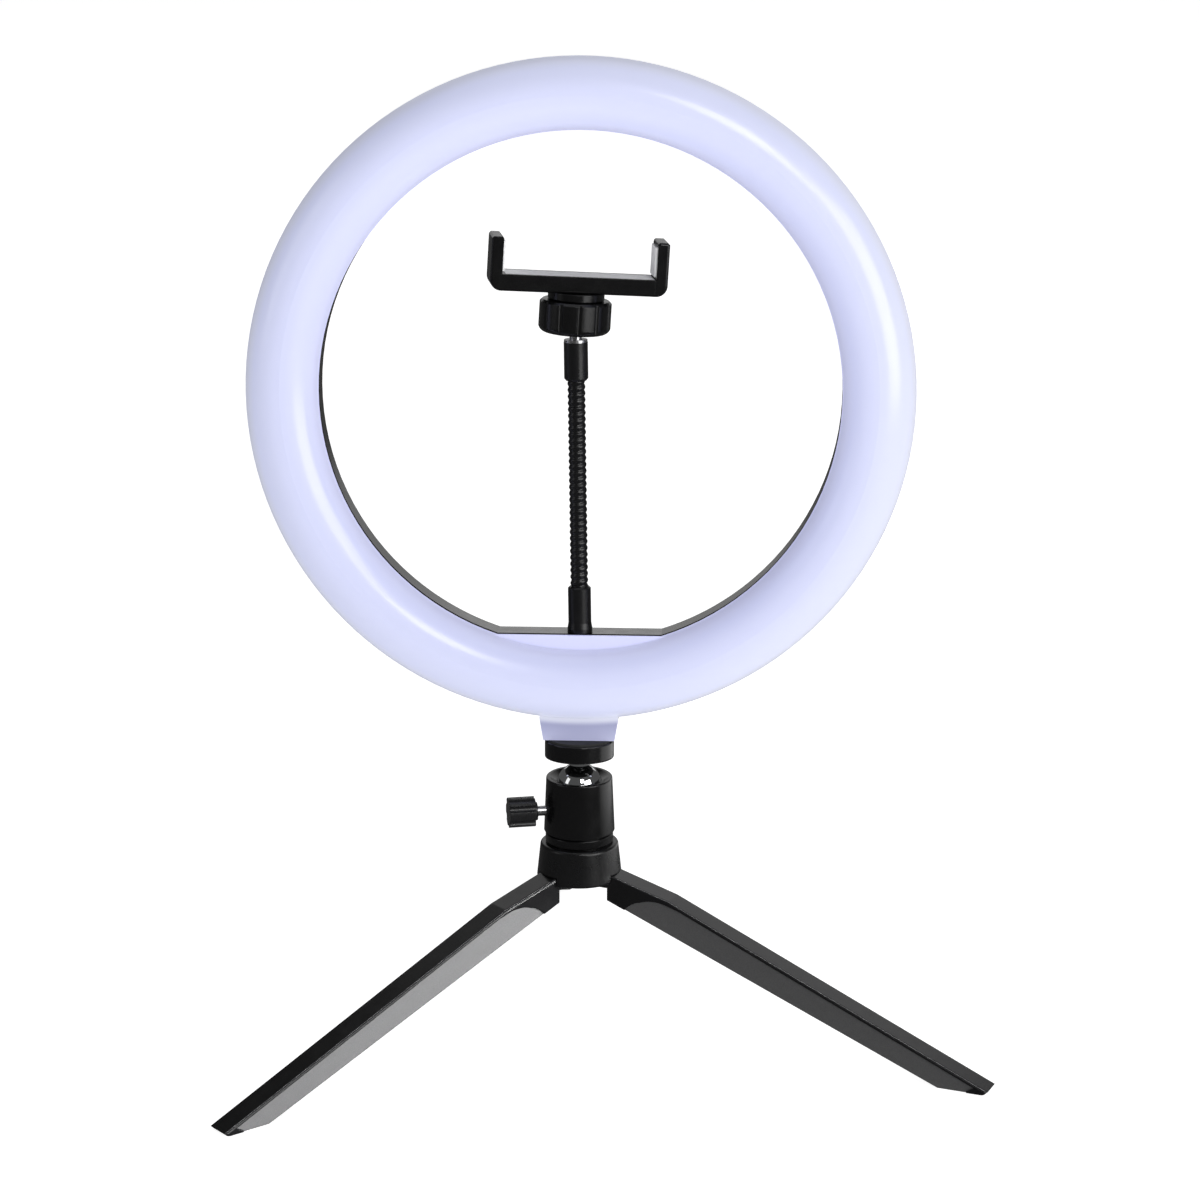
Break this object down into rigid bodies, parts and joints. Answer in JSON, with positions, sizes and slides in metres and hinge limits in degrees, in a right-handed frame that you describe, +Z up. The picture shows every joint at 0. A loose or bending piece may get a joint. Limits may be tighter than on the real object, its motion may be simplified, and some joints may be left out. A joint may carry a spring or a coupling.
{
  "type": "ring light",
  "caption": "Ring light with a milky lit ring on a small ball head and folding legs, and a spring phone clamp on a short gooseneck inside the ring.",
  "frame": {"origin": "on the floor, under the middle of the whole object's footprint", "axes": "+Z up, the lit side faces -Y, the lock knob is on the left (-X)"},
  "size_m": [0.2994, 0.2878, 0.39],
  "materials": {
    "black": "glossy moulded black",
    "satin": "satin moulded black with a fine grain",
    "knob": "satin black",
    "lit": "milky translucent, lit from inside",
    "pads": "pale grey foam",
    "rubber": "matt",
    "chrome": "polished",
    "steel": "bright",
    "brass": "machined",
    "board": "white solder mask",
    "emitters": "phosphor under clear resin",
    "hose": "black sleeve over a coil",
    "ferrule": "satin black",
    "nylon": "nylon"
  },
  "bodies": {
    "stand": {"tripod_hub": "satin", "base_screw": "steel", "base_collar": "black", "ball_cup": "black", "leg_pin_1": "steel", "leg_pin_2": "steel", "leg_pin_3": "steel"},
    "leg_1": {"leg_1": "satin", "leg_foot_1": "rubber"},
    "leg_2": {"leg_2": "satin", "leg_foot_2": "rubber"},
    "leg_3": {"leg_3": "satin", "leg_foot_3": "rubber"},
    "lock_screw": {"lock_screw": "steel"},
    "lock_knob": {"lock_knob": "knob"},
    "brake_shoe": {"brake_shoe": "nylon"},
    "ball": {"ball": "chrome"},
    "ball_stem": {"ball_stem": "chrome", "head_disc": "black", "disc_pad": "rubber", "head_stud": "steel"},
    "light": {"diffuser": "lit", "rear_housing": "black", "led_board": "board", "leds": "emitters", "housing_screws": "steel", "wiring_board": "board", "cable_gland": "rubber", "thread_insert": "brass", "lower_ferrule": "ferrule", "arm_nut": "steel", "gooseneck_link_0": "hose"},
    "neck_1": {"gooseneck_link_1": "hose"},
    "neck_2": {"gooseneck_link_2": "hose"},
    "neck_3": {"gooseneck_link_3": "hose"},
    "neck_4": {"gooseneck_link_4": "hose"},
    "neck_5": {"gooseneck_link_5": "hose"},
    "neck_6": {"gooseneck_link_6": "hose"},
    "neck_7": {"gooseneck_link_7": "hose"},
    "neck_8": {"gooseneck_link_8": "hose", "upper_ferrule": "ferrule", "clamp_ball": "steel"},
    "collet": {"clamp_collet": "nylon"},
    "socket": {"clamp_socket": "black", "swivel_rivet": "steel"},
    "lock_nut": {"lock_nut": "black"},
    "clamp": {"clamp_body": "black", "clamp_lid": "black", "bar_cushion": "pads", "fixed_jaw_cushion": "pads", "jaw_spring": "steel"},
    "jaw": {"clamp_jaw": "black", "sliding_jaw_cushion": "pads"}
  },
  "joints": [
    {"name": "leg_1_fold", "type": "hinge", "parent": "stand", "child": "leg_1", "pos_m": [-0.01559, -0.01941, 0.0665], "axis": [-0.9942, -0.108, 0], "range_deg": [0, 65]},
    {"name": "leg_2_fold", "type": "hinge", "parent": "stand", "child": "leg_2", "pos_m": [-0.02165, -0.03458, 0.0665], "axis": [0.6455, -0.7638, 0], "range_deg": [0, 65]},
    {"name": "leg_3_fold", "type": "hinge", "parent": "stand", "child": "leg_3", "pos_m": [-0.00588, -0.03174, 0.0665], "axis": [0.3387, 0.9409, 0], "range_deg": [0, 65]},
    {"name": "lock_screw_advance", "type": "slide", "parent": "stand", "child": "lock_screw", "axis": [-0.9759, -0.2181, 0], "range_m": [0, 0.00105]},
    {"name": "lock_knob_turn", "type": "hinge", "parent": "lock_screw", "child": "lock_knob", "pos_m": [-0.01459, -0.02861, 0.093], "axis": [-0.9759, -0.2181, 0], "range_deg": [0, 540]},
    {"name": "brake_shoe_slide", "type": "slide", "parent": "stand", "child": "brake_shoe", "axis": [0, 0, -1], "range_m": [0, 0.0003]},
    {"name": "ball_side_tilt", "type": "hinge", "parent": "stand", "child": "ball", "pos_m": [-0.01459, -0.02861, 0.103], "axis": [0, 0.9962, -0.0872], "range_deg": [-25, 25]},
    {"name": "ball_fore_tilt", "type": "hinge", "parent": "ball", "child": "ball_stem", "pos_m": [-0.01459, -0.02861, 0.103], "axis": [1, 0, 0], "range_deg": [-25, 25]},
    {"name": "light_pan", "type": "hinge", "parent": "ball_stem", "child": "light", "pos_m": [-0.01459, -0.02861, 0.103], "axis": [0, 0.0872, 0.9962], "continuous": true},
    {"name": "gooseneck_bend_1", "type": "hinge", "parent": "light", "child": "neck_1", "pos_m": [-0.015, -0.01921, 0.18741], "axis": [0.9998, 0.0015, 0.0174], "range_deg": [-20, 20]},
    {"name": "gooseneck_sway_2", "type": "hinge", "parent": "neck_1", "child": "neck_2", "pos_m": [-0.01517, -0.01832, 0.19758], "axis": [0, 0.9962, -0.0872], "range_deg": [-3, 3]},
    {"name": "gooseneck_bend_3", "type": "hinge", "parent": "neck_2", "child": "neck_3", "pos_m": [-0.01535, -0.01743, 0.20775], "axis": [0.9998, 0.0015, 0.0174], "range_deg": [-20, 20]},
    {"name": "gooseneck_sway_4", "type": "hinge", "parent": "neck_3", "child": "neck_4", "pos_m": [-0.01553, -0.01654, 0.21792], "axis": [0, 0.9962, -0.0872], "range_deg": [-3, 3]},
    {"name": "gooseneck_bend_5", "type": "hinge", "parent": "neck_4", "child": "neck_5", "pos_m": [-0.01571, -0.01565, 0.22809], "axis": [0.9998, 0.0015, 0.0174], "range_deg": [-20, 20]},
    {"name": "gooseneck_sway_6", "type": "hinge", "parent": "neck_5", "child": "neck_6", "pos_m": [-0.01589, -0.01476, 0.23827], "axis": [0, 0.9962, -0.0872], "range_deg": [-3, 3]},
    {"name": "gooseneck_bend_7", "type": "hinge", "parent": "neck_6", "child": "neck_7", "pos_m": [-0.01607, -0.01387, 0.24844], "axis": [0.9998, 0.0015, 0.0174], "range_deg": [-20, 20]},
    {"name": "gooseneck_sway_8", "type": "hinge", "parent": "neck_7", "child": "neck_8", "pos_m": [-0.01624, -0.01298, 0.25861], "axis": [0, 0.9962, -0.0872], "range_deg": [-3, 3]},
    {"name": "clamp_nod", "type": "hinge", "parent": "neck_8", "child": "collet", "pos_m": [-0.01681, -0.01016, 0.29089], "axis": [0.9845, 0.1613, -0.0694], "range_deg": [-15, 15]},
    {"name": "clamp_roll", "type": "hinge", "parent": "collet", "child": "socket", "pos_m": [-0.01681, -0.01016, 0.29089], "axis": [-0.1665, 0.9831, -0.0767], "range_deg": [-10, 8]},
    {"name": "lock_nut_turn", "type": "hinge", "parent": "socket", "child": "lock_nut", "pos_m": [-0.01681, -0.01016, 0.29089], "axis": [0.0558, 0.087, 0.9946], "range_deg": [0, 270]},
    {"name": "clamp_spin", "type": "hinge", "parent": "socket", "child": "clamp", "pos_m": [-0.01681, -0.01016, 0.29089], "axis": [0.0558, 0.087, 0.9946], "continuous": true},
    {"name": "jaw_slide", "type": "slide", "parent": "clamp", "child": "jaw", "axis": [0.9845, 0.1613, -0.0694], "range_m": [0, 0.026], "stiffness_N_per_m": 120, "springref_m": -0.03}
  ],
  "couplings": [
    {"joint": "lock_knob_turn", "follows": "lock_screw_advance", "rad_per_m": 8976},
    {"joint": "brake_shoe_slide", "follows": "lock_screw_advance", "ratio": 0.28571},
    {"joint": "gooseneck_bend_3", "follows": "gooseneck_bend_1", "ratio": 1},
    {"joint": "gooseneck_sway_4", "follows": "gooseneck_sway_2", "ratio": 1},
    {"joint": "gooseneck_bend_5", "follows": "gooseneck_bend_1", "ratio": 1},
    {"joint": "gooseneck_sway_6", "follows": "gooseneck_sway_2", "ratio": 1},
    {"joint": "gooseneck_bend_7", "follows": "gooseneck_bend_1", "ratio": 1},
    {"joint": "gooseneck_sway_8", "follows": "gooseneck_sway_2", "ratio": 1}
  ]
}
